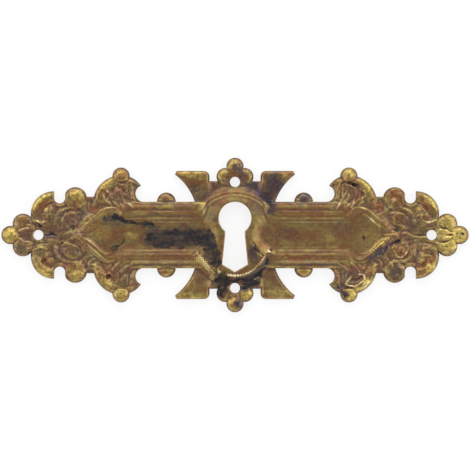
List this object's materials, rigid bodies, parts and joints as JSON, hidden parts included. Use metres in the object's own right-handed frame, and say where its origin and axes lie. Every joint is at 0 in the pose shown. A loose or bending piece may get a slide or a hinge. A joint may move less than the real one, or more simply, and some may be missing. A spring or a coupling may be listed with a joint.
{
  "type": "keyhole escutcheon",
  "caption": "Pressed brass keyhole escutcheon: a long ornate plate with a reeded bar, spear points, leaf ears and beads, pinned over a lock to frame its keyhole.",
  "frame": {"origin": "centre of the plate's back, on the surface that it is pinned to", "axes": "+X along the plate, +Y towards the round end of the keyhole, +Z out of the ornamented front"},
  "size_m": [0.1026, 0.034, 0.0029],
  "materials": {
    "aged_brass": "aged lacquered brass with brown and blue-black tarnish"
  },
  "bodies": {
    "root": {"escutcheon_plate": "aged_brass"}
  },
  "joints": []
}
